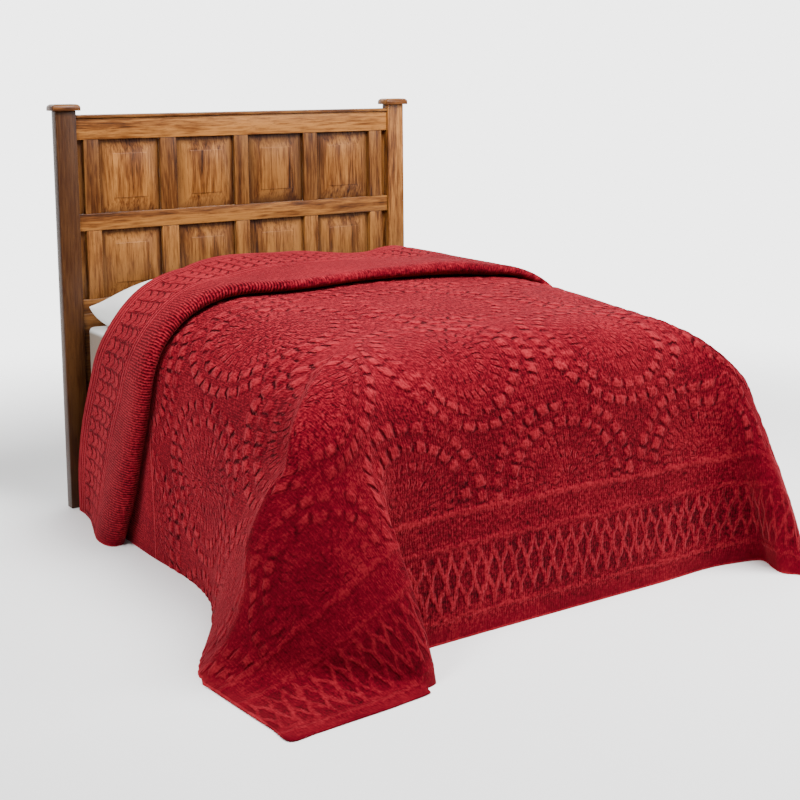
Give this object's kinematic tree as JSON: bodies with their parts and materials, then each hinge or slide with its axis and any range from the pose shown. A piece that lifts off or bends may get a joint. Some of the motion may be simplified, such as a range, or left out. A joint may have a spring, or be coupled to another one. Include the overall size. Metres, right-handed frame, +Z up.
{
  "type": "chenille bedspread on a bed",
  "caption": "One-piece chenille bedspread with a turned-back head band, hanging sides and foot, and a corner flap on the floor, on a plain bed with a panelled headboard.",
  "frame": {"origin": "middle of the object's footprint on the floor", "axes": "+X across the bed to the right as seen from the foot, +Y from the foot towards the headboard, +Z up from the floor"},
  "size_m": [2.2946, 2.315, 1.5653],
  "materials": {
    "chenille": "cut pile, matte",
    "wood": "satin",
    "white_cotton": "matte",
    "base_cloth": "matte"
  },
  "bodies": {
    "root": {"base_foot_1": "base_cloth", "base_foot_2": "base_cloth", "base_foot_3": "base_cloth", "base_foot_4": "base_cloth", "bedspread": "chenille", "box_base": "base_cloth", "cap_left": "wood", "cap_right": "wood", "ledge": "wood", "mattress": "white_cotton", "panel_1_lower": "wood", "panel_1_upper": "wood", "panel_2_lower": "wood", "panel_2_upper": "wood", "panel_3_lower": "wood", "panel_3_upper": "wood", "panel_4_lower": "wood", "panel_4_upper": "wood", "pillow_left": "white_cotton", "pillow_right": "white_cotton", "post_left": "wood", "post_right": "wood", "quilt": "white_cotton", "rail_base": "wood", "rail_low": "wood", "rail_middle": "wood", "rail_top": "wood", "stile_1_lower": "wood", "stile_1_upper": "wood", "stile_2_lower": "wood", "stile_2_upper": "wood", "stile_3_lower": "wood", "stile_3_upper": "wood", "stile_4_lower": "wood", "stile_4_upper": "wood", "stile_5_lower": "wood", "stile_5_upper": "wood"}
  },
  "joints": []
}
